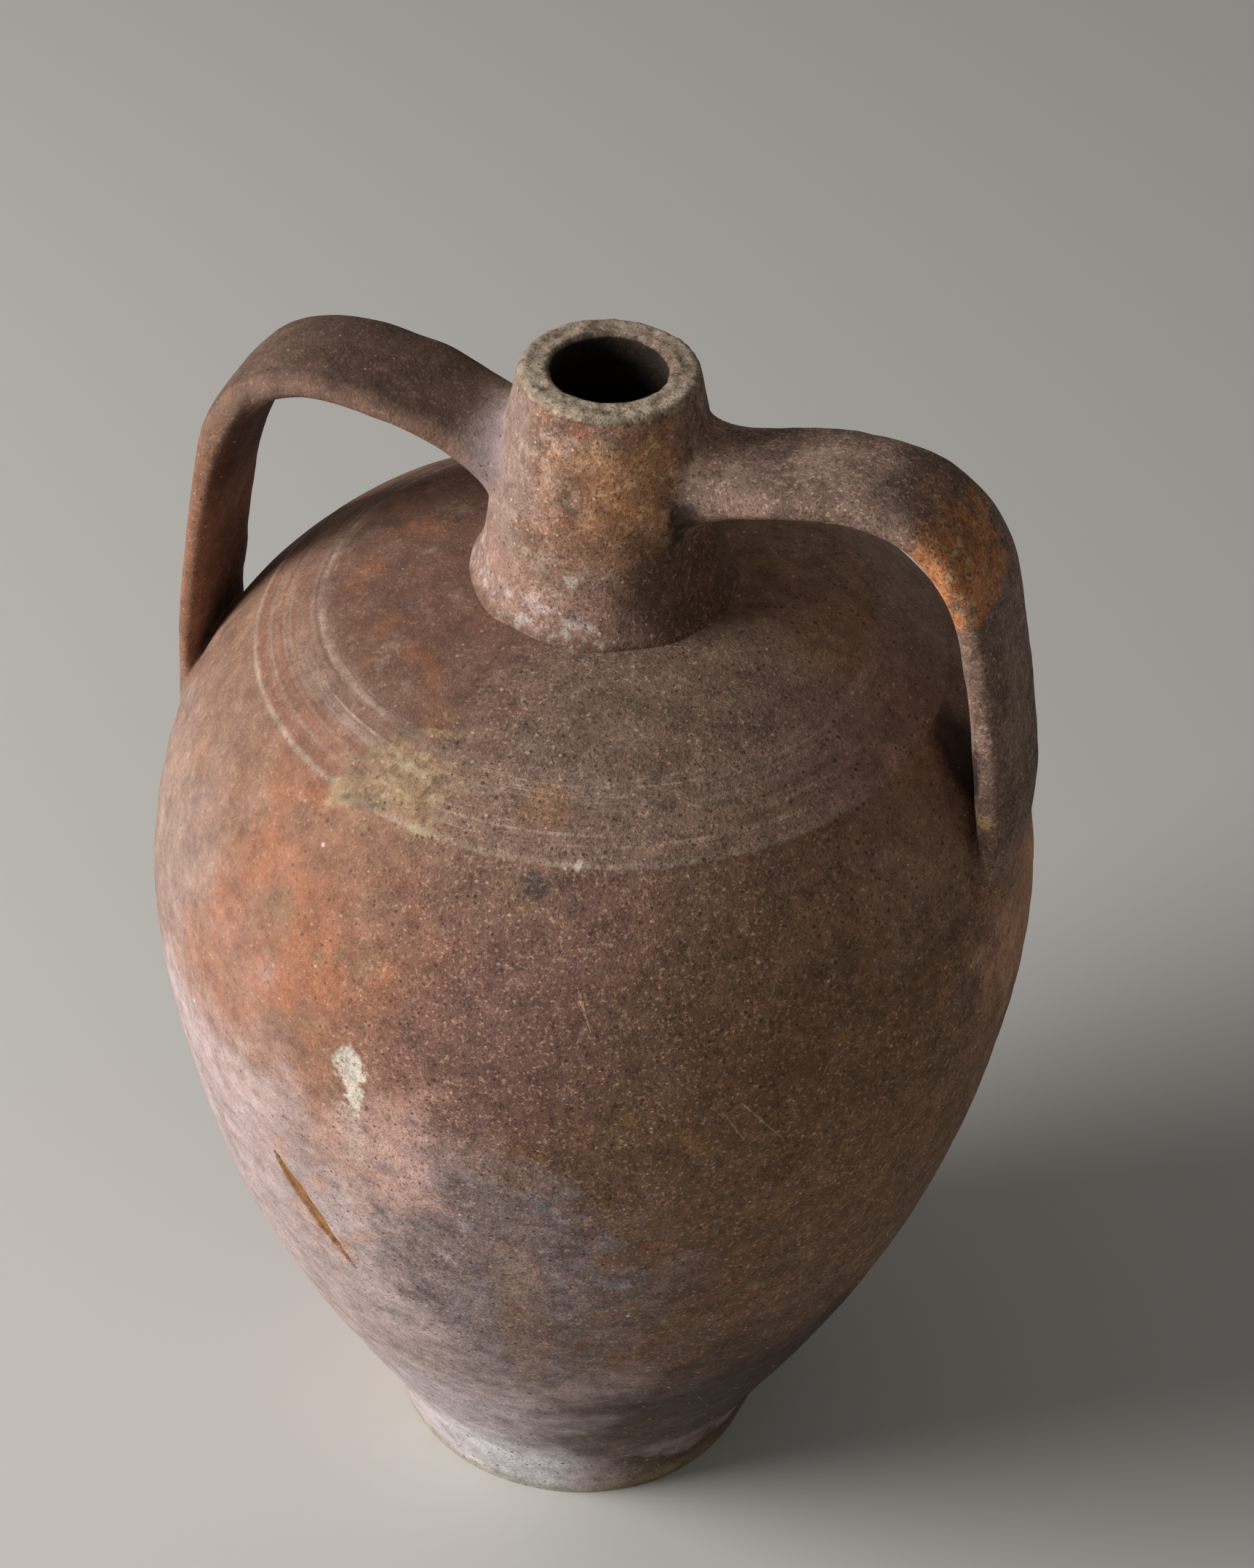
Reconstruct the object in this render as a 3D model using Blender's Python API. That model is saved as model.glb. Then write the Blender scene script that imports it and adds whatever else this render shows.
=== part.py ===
"""A two-handled earthenware amphora, as the separate clay pieces it was luted together from.

Metres, +Z up. The origin is the centre of the flat underside, and the two strap handles
lie along X. The jar is hollow from its mouth down to the floor inside the base.
"""

import math

import bmesh
import bpy
import numpy as np
from mathutils import Matrix

# Driving dimensions.
HEIGHT = 0.4905
FOOT_RADIUS = 0.0725
BELLY_RADIUS = 0.160
BELLY_LEVEL = 0.2865
WALL = 0.0085
FLOOR = 0.011
GAP = 0.0003

# Levels at which the thrown sections were joined.
BASE_JOINT = 0.029
BELLY_JOINT = 0.245
SHOULDER_JOINT = 0.376

NECK_RADIUS = 0.0392
NECK_BORE = 0.0297
NECK_FOOT_LEVEL = 0.4085
NECK_TOP = 0.4840
COIL_RADIUS = 0.0485
COIL_TOP = 0.4300
LIP_RADIUS = 0.0298
MOUTH_RADIUS = 0.0193

# Which coordinate of an outline or a path a number is.
ACROSS = 0
LEVEL = 1

SEGMENTS = 60
STRAP_SIDES = 14
STRAP_ROWS = 20
STRAP_SQUARENESS = 3.2
MERGE = 0.00001
SHARP_ANGLE = math.radians(35)

# (radius, level) of the turned outer wall, from the foot to the opening under the neck.
BODY_OUTLINE = (
    (FOOT_RADIUS, 0.0),
    (0.0805, 0.0260),
    (0.0970, 0.0610),
    (0.1200, 0.1085),
    (0.1415, 0.1650),
    (0.1555, 0.2260),
    (BELLY_RADIUS, BELLY_LEVEL),
    (0.1480, 0.3385),
    (0.1140, 0.3820),
    (0.0560, 0.4060),
    (0.0300, NECK_FOOT_LEVEL),
)

# (x, z) along the middle of each strap, from the neck over and down to the belly.
LEFT_PATH = (
    (-0.0320, 0.4480),
    (-0.0696, 0.4668),
    (-0.0984, 0.4703),
    (-0.1215, 0.4625),
    (-0.1345, 0.4450),
    (-0.1415, 0.4150),
    (-0.1465, 0.3750),
    (-0.1500, 0.3400),
    (-0.1515, 0.3180),
)
RIGHT_PATH = (
    (0.0340, 0.4545),
    (0.0818, 0.4689),
    (0.1110, 0.4655),
    (0.1290, 0.4500),
    (0.1390, 0.4230),
    (0.1456, 0.3890),
    (0.1500, 0.3550),
    (0.1520, 0.3360),
    (0.1525, 0.3180),
)
LEFT_STRAP = (0.0475, 0.0102)
RIGHT_STRAP = (0.0485, 0.0112)

# Half lengths of the lumps of clay smeared round each end of a strap.
UPPER_LUTE = (0.0210, 0.0315, 0.0155)
UPPER_LUTE_RADIUS = 0.0410
LOWER_LUTE = (0.0080, 0.0310, 0.0290)
LOWER_LUTE_LEVEL = 0.3200
LOWER_LUTE_SUNK = 0.0025
LOWER_LUTE_TILT = math.radians(16)
TAIL_CLEARANCE = 2.6

# (red, green, blue) and roughness of each clay.
CLAYS = {
    "foot_clay": ((0.34, 0.29, 0.26), 0.92),
    "body_clay": ((0.23, 0.105, 0.060), 0.88),
    "shoulder_clay": ((0.17, 0.095, 0.062), 0.88),
    "neck_clay": ((0.24, 0.125, 0.075), 0.90),
    "handle_clay": ((0.13, 0.075, 0.050), 0.85),
    "luting_clay": ((0.20, 0.110, 0.070), 0.90),
}


class Curve:
    """A natural cubic curve through points in a plane, read by its running length."""

    def __init__(self, points):
        self.points = np.array(points, float)
        steps = np.hypot(*np.diff(self.points, axis=0).T)
        self.knots = np.concatenate([[0.0], np.cumsum(steps)])
        self.length = self.knots[-1]
        count = len(points)
        matrix = np.eye(count)
        right = np.zeros((count, 2))
        for i in range(1, count - 1):
            before = steps[i - 1]
            after = steps[i]
            matrix[i, i - 1 : i + 2] = before, 2 * (before + after), after
            rise = (self.points[i + 1] - self.points[i]) / after
            fall = (self.points[i] - self.points[i - 1]) / before
            right[i] = 6 * (rise - fall)
        self.bends = np.linalg.solve(matrix, right)

    def at(self, distance):
        distance = np.atleast_1d(distance)
        i = np.clip(np.searchsorted(self.knots, distance) - 1, 0, len(self.knots) - 2)
        step = (self.knots[i + 1] - self.knots[i])[:, None]
        ahead = (self.knots[i + 1] - distance)[:, None] / step
        behind = 1 - ahead
        curve = (ahead**3 - ahead) * self.bends[i] + (behind**3 - behind) * self.bends[i + 1]
        return ahead * self.points[i] + behind * self.points[i + 1] + curve * step**2 / 6

    def normal(self, distance):
        """Unit vectors at right angles to the curve, to the right of its direction."""
        small = self.length * 0.001
        along = self.at(np.asarray(distance) + small) - self.at(np.asarray(distance) - small)
        across = np.stack([along[:, 1], -along[:, 0]], axis=1)
        return across / np.linalg.norm(across, axis=1)[:, None]

    def where(self, axis, value, start=0.0):
        """The first running length past start at which one coordinate passes a value."""
        distances = np.linspace(start, self.length, 800)
        offsets = self.at(distances)[:, axis] - value
        after = int(np.argmax(offsets * offsets[0] < 0))
        before = after - 1
        share = offsets[before] / (offsets[before] - offsets[after])
        return distances[before] + share * (distances[after] - distances[before])


def clear_scene():
    for thing in list(bpy.data.objects):
        bpy.data.objects.remove(thing, do_unlink=True)


def make_clay(name):
    colour, roughness = CLAYS[name]
    material = bpy.data.materials.new(name)
    material.use_nodes = True
    shader = material.node_tree.nodes["Principled BSDF"]
    shader.inputs["Base Color"].default_value = (*colour, 1.0)
    shader.inputs["Roughness"].default_value = roughness
    shader.inputs["Metallic"].default_value = 0.0
    return material


def finish_piece(name, shape, material):
    """Turns a bmesh into a named object, closed and facing out."""
    bmesh.ops.remove_doubles(shape, verts=shape.verts, dist=MERGE)
    bmesh.ops.recalc_face_normals(shape, faces=shape.faces)
    mesh = bpy.data.meshes.new(name)
    shape.to_mesh(mesh)
    shape.free()
    mesh.shade_smooth()
    mesh.set_sharp_from_angle(angle=SHARP_ANGLE)
    if material:
        mesh.materials.append(material)
    piece = bpy.data.objects.new(name, mesh)
    bpy.context.scene.collection.objects.link(piece)
    return piece


def turned(name, profile, material=None):
    """A ring turned about Z, or a solid where the profile begins and ends on the axis."""
    shape = bmesh.new()
    points = [shape.verts.new((radius, 0.0, level)) for radius, level in profile]
    edges = [shape.edges.new(pair) for pair in zip(points, points[1:])]
    if profile[0][0] > 0 or profile[-1][0] > 0:
        edges.append(shape.edges.new((points[-1], points[0])))
    bmesh.ops.spin(
        shape,
        geom=points + edges,
        cent=(0, 0, 0),
        axis=(0, 0, 1),
        angle=math.tau,
        steps=SEGMENTS,
        use_merge=True,
    )
    return finish_piece(name, shape, material)


def wall_section(name, curve, start, end, rows, material):
    """The wall along one stretch of the outline, square-ended and half a gap short each way."""
    distances = np.linspace(start + GAP / 2, end - GAP / 2, rows)
    outer = curve.at(distances)
    inner = outer - WALL * curve.normal(distances)
    return turned(name, [*outer, *inner[::-1]], material)


def make_base(curve, end, material):
    """The foot: a flat floor with a short upstand, which the wall stands on."""
    distances = np.linspace(0, end - GAP / 2, 4)
    outer = curve.at(distances)
    top_inside = outer[-1] - WALL * curve.normal(distances)[-1]
    floor_edge = (FOOT_RADIUS - 1.2 * WALL, FLOOR)
    profile = [(0.0, 0.0), *outer, top_inside, floor_edge, (0.0, FLOOR)]
    return turned("base", profile, material)


def neck_outline(grow=0.0):
    """(radius, level) up the outside of the neck, pushed outwards by grow."""
    outline = Curve(
        (
            (NECK_RADIUS, NECK_FOOT_LEVEL + GAP),
            (NECK_RADIUS - 0.0006, 0.4420),
            (0.0351, 0.4660),
            (LIP_RADIUS + 0.0014, NECK_TOP),
        )
    )
    distances = np.linspace(0, outline.length, 7)
    return outline.at(distances) + grow * outline.normal(distances)


def make_neck(material):
    outer = neck_outline()
    bore = Curve(
        (
            (NECK_BORE, NECK_FOOT_LEVEL + GAP),
            (NECK_BORE - 0.001, 0.4420),
            (MOUTH_RADIUS + 0.0025, NECK_TOP),
        )
    )
    inner = bore.at(np.linspace(0, bore.length, 5))
    return turned("neck", [*outer, *inner[::-1]], material)


def make_lip(material):
    """The coil that makes the flat-topped lip."""
    seat = NECK_TOP + GAP
    profile = (
        (LIP_RADIUS + 0.0013, seat),
        (LIP_RADIUS + 0.0008, HEIGHT - 0.0028),
        (LIP_RADIUS, HEIGHT - 0.0008),
        (LIP_RADIUS - 0.0008, HEIGHT),
        (MOUTH_RADIUS + 0.0010, HEIGHT),
        (MOUTH_RADIUS, HEIGHT - 0.0012),
        (MOUTH_RADIUS, seat + 0.0020),
        (MOUTH_RADIUS + 0.0018, seat),
    )
    return turned("lip", profile, material)


def make_neck_coil(seat_level, material):
    """The roll of clay worked into the corner between the shoulder and the neck."""
    inside = NECK_RADIUS + GAP
    edge = seat_level + GAP
    profile = (
        (inside, NECK_FOOT_LEVEL + GAP),
        (COIL_RADIUS, edge),
        (COIL_RADIUS - 0.0005, edge + 0.0012),
        (COIL_RADIUS - 0.0036, 0.4140),
        (COIL_RADIUS - 0.0065, 0.4210),
        (inside + 0.0010, COIL_TOP - 0.0005),
        (inside, COIL_TOP),
    )
    return turned("neck_coil", profile, material)


def strap(name, path, width, thickness, material=None):
    """A strap of rounded oblong section swept along a path in the XZ plane."""
    curve = Curve(path)
    distances = np.linspace(0, curve.length, STRAP_ROWS)
    middle = curve.at(distances)
    across = curve.normal(distances)
    shape = bmesh.new()
    rows = []
    for centre, normal in zip(middle, across):
        row = []
        for side in range(STRAP_SIDES):
            angle = math.tau * side / STRAP_SIDES
            deep = thickness / 2 * rounded(math.cos(angle))
            wide = width / 2 * rounded(math.sin(angle))
            x, z = centre + deep * normal
            row.append(shape.verts.new((x, wide, z)))
        rows.append(row)
    for row, after in zip(rows, rows[1:]):
        for i in range(STRAP_SIDES):
            j = (i + 1) % STRAP_SIDES
            shape.faces.new((row[i], row[j], after[j], after[i]))
    shape.faces.new(rows[0])
    shape.faces.new(rows[-1])
    return finish_piece(name, shape, material)


def rounded(value):
    """One coordinate of a circle pushed out towards a square."""
    return math.copysign(abs(value) ** (2 / STRAP_SQUARENESS), value)


def lump(name, centre, half_lengths, tilt, material):
    """A smooth flattened ball of clay, tilted about Y."""
    shape = bmesh.new()
    place = Matrix.Translation(centre) @ Matrix.Rotation(tilt, 4, "Y") @ Matrix.Diagonal((*half_lengths, 1))
    bmesh.ops.create_uvsphere(shape, u_segments=24, v_segments=12, radius=1.0, matrix=place)
    return finish_piece(name, shape, material)


def hide_cutter(cutter):
    cutter.hide_render = True
    cutter.display_type = "WIRE"
    return cutter


def cut(piece, *cutters):
    for cutter in cutters:
        modifier = piece.modifiers.new(cutter.name, "BOOLEAN")
        modifier.operation = "DIFFERENCE"
        modifier.object = cutter


def make_wall_cutter(curve):
    """The whole body as one solid, a gap larger than the wall."""
    distances = np.linspace(0, curve.length, 30)
    outer = curve.at(distances) + GAP * curve.normal(distances)
    profile = [(0.0, 0.0), *outer, (0.0, outer[-1][1])]
    return hide_cutter(turned("wall_clearance", profile))


def make_neck_cutter():
    outer = neck_outline(GAP)
    profile = [(0.0, outer[0][1]), *outer, (0.0, outer[-1][1])]
    return hide_cutter(turned("neck_clearance", profile))


def grown_path(path):
    """The path, carried on past its lower end by one gap."""
    last = np.array(path[-1])
    onward = last - np.array(path[-2])
    return (*path, tuple(last + onward / np.linalg.norm(onward) * GAP))


def make_handle(side, path, size, wall, wall_cutter, neck_cutter, clays):
    """One strap and the two smears of luting clay that hold its ends."""
    width, thickness = size
    sign = math.copysign(1, path[0][0])
    handle = strap(f"handle_{side}", path, width, thickness, clays["handle_clay"])
    cut(handle, wall_cutter, neck_cutter)

    onward = grown_path(path)
    around = strap(f"strap_clearance_{side}", onward, width + 2 * GAP, thickness + 2 * GAP)
    through = strap(f"tail_clearance_{side}", onward, width + 2 * GAP, thickness * TAIL_CLEARANCE)
    hide_cutter(around)
    hide_cutter(through)

    root = Curve(path)
    distance = root.where(ACROSS, sign * UPPER_LUTE_RADIUS)
    root_level = root.at(distance)[0][LEVEL]
    normal = root.normal(distance)[0]
    upper = lump(
        f"upper_lute_{side}",
        (sign * UPPER_LUTE_RADIUS, 0.0, root_level),
        UPPER_LUTE,
        math.atan2(-sign * normal[0], -sign * normal[1]),
        clays["luting_clay"],
    )
    cut(upper, neck_cutter, around)

    radius = wall.at(wall.where(LEVEL, LOWER_LUTE_LEVEL))[0][ACROSS] - LOWER_LUTE_SUNK
    lower = lump(
        f"lower_lute_{side}",
        (sign * radius, 0.0, LOWER_LUTE_LEVEL),
        LOWER_LUTE,
        -sign * LOWER_LUTE_TILT,
        clays["luting_clay"],
    )
    cut(lower, wall_cutter, through)


def main():
    clear_scene()
    clays = {name: make_clay(name) for name in CLAYS}
    wall = Curve(BODY_OUTLINE)
    foot_end = wall.where(LEVEL, BASE_JOINT)
    belly = wall.where(LEVEL, BELLY_JOINT)
    band = wall.where(LEVEL, SHOULDER_JOINT)
    coil_edge = wall.at(wall.where(ACROSS, COIL_RADIUS, start=band))[0][LEVEL]

    make_base(wall, foot_end, clays["foot_clay"])
    wall_section("lower_body", wall, foot_end, belly, 8, clays["body_clay"])
    wall_section("upper_body", wall, belly, band, 7, clays["body_clay"])
    wall_section("shoulder", wall, band, wall.length, 7, clays["shoulder_clay"])
    make_neck(clays["neck_clay"])
    make_neck_coil(coil_edge, clays["luting_clay"])
    make_lip(clays["neck_clay"])

    wall_cutter = make_wall_cutter(wall)
    neck_cutter = make_neck_cutter()
    make_handle("left", LEFT_PATH, LEFT_STRAP, wall, wall_cutter, neck_cutter, clays)
    make_handle("right", RIGHT_PATH, RIGHT_STRAP, wall, wall_cutter, neck_cutter, clays)


main()
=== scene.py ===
"""The looks of a two-handled earthenware amphora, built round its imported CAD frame."""

import math

import bpy
import numpy as np
from mathutils import Matrix, Vector


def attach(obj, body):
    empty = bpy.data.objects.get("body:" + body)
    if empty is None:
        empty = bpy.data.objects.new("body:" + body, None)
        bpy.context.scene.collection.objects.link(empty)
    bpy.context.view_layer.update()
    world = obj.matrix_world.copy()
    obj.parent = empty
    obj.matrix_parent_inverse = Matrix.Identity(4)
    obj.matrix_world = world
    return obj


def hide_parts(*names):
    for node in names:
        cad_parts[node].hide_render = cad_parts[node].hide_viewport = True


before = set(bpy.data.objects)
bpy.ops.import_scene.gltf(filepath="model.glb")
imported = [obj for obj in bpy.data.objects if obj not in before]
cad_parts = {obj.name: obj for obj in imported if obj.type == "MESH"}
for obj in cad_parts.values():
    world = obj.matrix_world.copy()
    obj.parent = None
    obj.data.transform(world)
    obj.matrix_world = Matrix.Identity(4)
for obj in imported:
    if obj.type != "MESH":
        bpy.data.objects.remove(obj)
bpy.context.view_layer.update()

MM = 0.001

# The camera, by bearing (0 looks along +Y) and elevation round a point inside the jar.
CAMERA_AIM = (0.0106, 0.0035, 0.3107)
CAMERA_BEARING = math.radians(18.45)
CAMERA_ELEVATION = math.radians(40.0)
CAMERA_ROLL = math.radians(2.28)
CAMERA_DISTANCE = 1.34
CAMERA_LENS = 85.0
SENSOR_WIDTH = 36.0

LIGHT_BEARING = math.radians(-58.0)
LIGHT_ELEVATION = math.radians(24.0)
LIGHT_DISTANCE = 2.7
LIGHT_AIM = (0.0, 0.0, 0.25)
LIGHT_SIZE = 1.55
LIGHT_POWER = 85.0
LIGHT_COLOUR = (1.0, 0.98, 0.96)
SKY_COLOUR = (1.0, 0.97, 0.93, 1.0)
SKY_STRENGTH = 0.16
FLOOR_REACH = 4.0
FLOOR_COLOUR = (0.66, 0.65, 0.62, 1.0)
FLOOR_ROUGHNESS = 0.85

# Outlines, as in the CAD model: (radius, level) and (x, level).
WALL_OUTLINE = (
    (0.0725, 0.0), (0.0805, 0.026), (0.097, 0.061), (0.12, 0.1085),
    (0.1415, 0.165), (0.1555, 0.226), (0.16, 0.2865), (0.148, 0.3385),
    (0.114, 0.382), (0.056, 0.406), (0.03, 0.4085),
)
NECK_OUTLINE = (
    (0.047, 0.4062), (0.0464, 0.408), (0.0453, 0.4095), (0.0436, 0.412),
    (0.0423, 0.416), (0.041, 0.422), (0.0401, 0.4295), (0.0395, 0.4365),
    (0.0388, 0.444), (0.0371, 0.455), (0.035, 0.4665), (0.0327, 0.478),
    (0.0313, 0.4845),
)
LEFT_PATH = (
    (-0.0696, 0.4662), (-0.0975, 0.4692), (-0.1195, 0.4622), (-0.133, 0.4446),
    (-0.1418, 0.415), (-0.1478, 0.375), (-0.15, 0.356),
)
LEFT_WIDTH = 0.0475
LEFT_THICKNESS = (
    (0.0, 0.0108), (0.26, 0.012), (0.4, 0.0156), (0.5, 0.0164),
    (0.62, 0.0122), (0.75, 0.0106), (1.0, 0.0104),
)
RIGHT_PATH = (
    (0.068, 0.4655), (0.0818, 0.468), (0.1105, 0.4645), (0.1282, 0.4495),
    (0.1382, 0.423), (0.145, 0.389), (0.1492, 0.36),
)
RIGHT_WIDTH = 0.0485
RIGHT_THICKNESS = ((0.0, 0.0128), (0.3, 0.0136), (0.6, 0.014), (1.0, 0.0152))

# Each end of a strap meets a surface in a ring: the level of its middle, half its width, its
# reach upwards and downwards, and how far the clay is drawn out along the surface.
LEFT_ROOT = (0.45, 0.0285, 0.02, 0.017, 0.022)
LEFT_TAIL = (0.324, 0.03, 0.026, 0.03, 0.02)
RIGHT_ROOT = (0.453, 0.0285, 0.025, 0.015, 0.024)
RIGHT_TAIL = (0.329, 0.03, 0.022, 0.025, 0.02)
STRAP_COLUMNS = 96
STRAP_SQUARENESS = 2.9
FADE_ROWS = 14

WALL_THICKNESS = 0.0085
FLOOR_LEVEL = 0.011
BASE_JOINT = 0.029
BELLY_JOINT = 0.245
BAND_JOINT = 0.376
COIL_TOP = 0.43
LIP_SEAT = 0.484
LIP_LEVEL = 0.4903
MOUTH_RADIUS = 0.0199

# The two coordinates of a point on an outline.
ACROSS = 0
LEVEL = 1
SHARP_ANGLE = math.radians(50)


class Curve:
    """A natural cubic curve through points in a plane, read by its running length."""

    def __init__(self, points):
        self.points = np.array(points, float)
        steps = np.hypot(*np.diff(self.points, axis=0).T)
        self.knots = np.concatenate([[0.0], np.cumsum(steps)])
        self.length = self.knots[-1]
        count = len(points)
        matrix = np.eye(count)
        right = np.zeros((count, 2))
        for i in range(1, count - 1):
            before = steps[i - 1]
            after = steps[i]
            matrix[i, i - 1 : i + 2] = before, 2 * (before + after), after
            rise = (self.points[i + 1] - self.points[i]) / after
            fall = (self.points[i] - self.points[i - 1]) / before
            right[i] = 6 * (rise - fall)
        self.bends = np.linalg.solve(matrix, right)

    def at(self, distance):
        distance = np.atleast_1d(distance)
        i = np.clip(np.searchsorted(self.knots, distance) - 1, 0, len(self.knots) - 2)
        step = (self.knots[i + 1] - self.knots[i])[:, None]
        ahead = (self.knots[i + 1] - distance)[:, None] / step
        behind = 1 - ahead
        curve = (ahead**3 - ahead) * self.bends[i] + (behind**3 - behind) * self.bends[i + 1]
        return ahead * self.points[i] + behind * self.points[i + 1] + curve * step**2 / 6

    def along(self, distance):
        small = self.length * 0.001
        step = self.at(np.asarray(distance) + small) - self.at(np.asarray(distance) - small)
        return step / np.linalg.norm(step, axis=1)[:, None]

    def normal(self, distance):
        """Unit vectors at right angles to the curve, to the right of its direction."""
        along = self.along(distance)
        return np.stack([along[:, 1], -along[:, 0]], axis=1)

    def where(self, axis, value, start=0.0):
        """The first running length past start at which one coordinate passes a value."""
        distances = np.linspace(start, self.length, 800)
        offsets = self.at(distances)[:, axis] - value
        after = int(np.argmax(offsets * offsets[0] < 0))
        before = after - 1
        share = offsets[before] / (offsets[before] - offsets[after])
        return distances[before] + share * (distances[after] - distances[before])


def hash_noise(corner, seed):
    """A repeatable number from -1 to 1 for each whole-number corner of a lattice."""
    x, y, z = (corner[..., axis].astype(np.int64) for axis in range(3))
    mixed = (x * 374761393 + y * 668265263 + z * 2147483647 + seed * 1274126177) & 0xFFFFFFFF
    mixed = ((mixed ^ (mixed >> 13)) * 1103515245) & 0xFFFFFFFF
    mixed = ((mixed ^ (mixed >> 15)) * 2654435761) & 0xFFFFFFFF
    return (mixed ^ (mixed >> 16)) / 2147483648.0 - 1.0


def noise(points, size, seed):
    """Smooth value noise from -1 to 1, whose hills are about size across."""
    place = np.asarray(points) / size + 1000.0
    corner = np.floor(place)
    inside = place - corner
    inside = inside**3 * (inside * (inside * 6 - 15) + 10)
    total = np.zeros(place.shape[:-1])
    for step in np.ndindex(2, 2, 2):
        weight = np.ones(place.shape[:-1])
        for axis in range(3):
            weight = weight * (inside[..., axis] if step[axis] else 1 - inside[..., axis])
        total += weight * hash_noise(corner + np.array(step), seed)
    return total


def smooth_step(low, high, value):
    share = np.clip((value - low) / (high - low), 0, 1)
    return share * share * (3 - 2 * share)


def graded(start, end, step, fine=()):
    """Distances from start to end about a step apart, closer within each (low, high, step)."""
    samples = np.linspace(start, end, 2000)
    density = np.full(samples.shape, 1 / step)
    for low, high, finer in fine:
        edge = (high - low) * 0.15
        inside = smooth_step(low - edge, low, samples)
        inside = inside * (1 - smooth_step(high, high + edge, samples))
        density += (1 / finer - 1 / step) * inside
    total = np.concatenate([[0], np.cumsum((density[1:] + density[:-1]) / 2 * np.diff(samples))])
    count = max(2, int(round(total[-1])) + 1)
    return np.interp(np.linspace(0, total[-1], count), total, samples)


def grid_normals(grid):
    """Vertex normals of a grid of rings, closed round its columns."""
    around = np.roll(grid, -1, axis=1) - np.roll(grid, 1, axis=1)
    along = np.gradient(grid, axis=0)
    normals = np.cross(around, along)
    return normals / np.maximum(np.linalg.norm(normals, axis=2), 1e-12)[..., None]


def show(thing):
    bpy.context.scene.collection.objects.link(thing)


def make_piece(name, outer, normals, inner=None, cap_start=False, cap_end=False):
    """A closed piece: an outer grid of rings, then inner rings that close it, or capped ends."""
    columns = outer.shape[1]
    rings = outer if inner is None else np.concatenate([outer, inner])
    count = len(rings)
    rows = np.arange(count if inner is not None and not (cap_start or cap_end) else count - 1)
    i, j = np.meshgrid(rows, np.arange(columns), indexing="ij")
    after = (i + 1) % count
    beside = (j + 1) % columns
    corners = (i * columns + j, i * columns + beside, after * columns + beside, after * columns + j)
    quads = np.stack(corners, axis=-1).reshape(-1, 4)
    faces = quads.tolist()
    if cap_start:
        faces.append(list(range(columns))[::-1])
    if cap_end:
        faces.append(list(range((count - 1) * columns, count * columns)))
    mesh = bpy.data.meshes.new(name)
    mesh.from_pydata(rings.reshape(-1, 3).tolist(), [], faces)
    mesh.shade_smooth()
    mesh.set_sharp_from_angle(angle=SHARP_ANGLE)
    shown = np.zeros((len(mesh.loops), 3))
    outer_loops = (len(outer) - 1) * columns * 4
    corner = np.zeros(len(mesh.loops), np.int32)
    mesh.loops.foreach_get("vertex_index", corner)
    shown[:outer_loops] = normals.reshape(-1, 3)[corner[:outer_loops]]
    mesh.normals_split_custom_set(shown.tolist())
    piece = bpy.data.objects.new(name, mesh)
    show(piece)
    return piece


def settle(piece, node, material):
    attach(piece, "root")
    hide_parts(node)
    piece.data.materials.append(material)


wall = Curve(WALL_OUTLINE)
neck = Curve(NECK_OUTLINE)
FOOT_END = wall.where(LEVEL, BASE_JOINT)
BELLY_END = wall.where(LEVEL, BELLY_JOINT)
BAND_END = wall.where(LEVEL, BAND_JOINT)
WALL_DISTANCES = np.linspace(0, BAND_END, 1200)


def turn(radius, level, bearing):
    """Points at a bearing from the front, -Y, growing towards +X."""
    return np.stack([radius * np.sin(bearing), -radius * np.cos(bearing), level + 0 * bearing], -1)


def rings_at(places, bearing):
    """Level rings, one for each (radius, level)."""
    return np.stack([turn(r + 0 * bearing, z, bearing) for r, z in places])


def lumps(points):
    """The unevenness that a hand leaves in clay."""
    relief = 0.55 * MM * noise(points, 0.075, 1)
    relief += 0.22 * MM * noise(points, 0.026, 2)
    relief += 0.09 * MM * noise(points, 0.01, 3)
    return relief


GOUGE_START = (-25.6, 0.23)
GOUGE_END = (-13.9, 0.1825)
GOUGE_HALF = 0.0044
GOUGE_RADIUS = 0.15
GOUGE_SKEW = 0.75
GOUGE_DEPTH = 1.2 * MM
GROOVE_LEVEL = 0.0295
GROOVE_HALF = 0.0045
GROOVE_DEPTH = 0.9 * MM
THROWING_RING = 0.0125


def gouge_share(points, bearing, level):
    """How deep, from 0 to 1, a point lies in the long flaked gouge on the left of the belly."""
    start, end = ((math.radians(b) * GOUGE_RADIUS, z) for b, z in (GOUGE_START, GOUGE_END))
    line = np.array(end) - start
    place = np.stack([bearing * GOUGE_RADIUS, level], -1) - start
    share = np.clip(place @ line / (line @ line), 0.001, 0.999)
    side = np.abs(place @ np.array((line[1], -line[0]))) / np.linalg.norm(line)
    side = side + 0.45 * MM * noise(points, 0.004, 17)
    width = GOUGE_HALF * np.sin(math.pi * share**GOUGE_SKEW)
    between = (place @ line > 0) & (place @ line < line @ line)
    return between * (1 - smooth_step(0.55, 1.0, side / width))


def wall_relief(points, bearing, distance, radius, level):
    relief = lumps(points)
    turns = distance / THROWING_RING + bearing / math.tau
    rings = np.sin(math.tau * turns + 1.5 * noise(points, 0.08, 4))
    fade = smooth_step(0.02, 0.06, level) * (1 - smooth_step(0.33, 0.37, level))
    relief += 0.1 * MM * rings * fade
    relief -= GROOVE_DEPTH * np.exp(-(((level - GROOVE_LEVEL) / GROOVE_HALF) ** 2))
    relief += band_relief(points, radius, level)
    relief -= GOUGE_DEPTH * gouge_share(points, bearing, level)
    return relief


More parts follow.
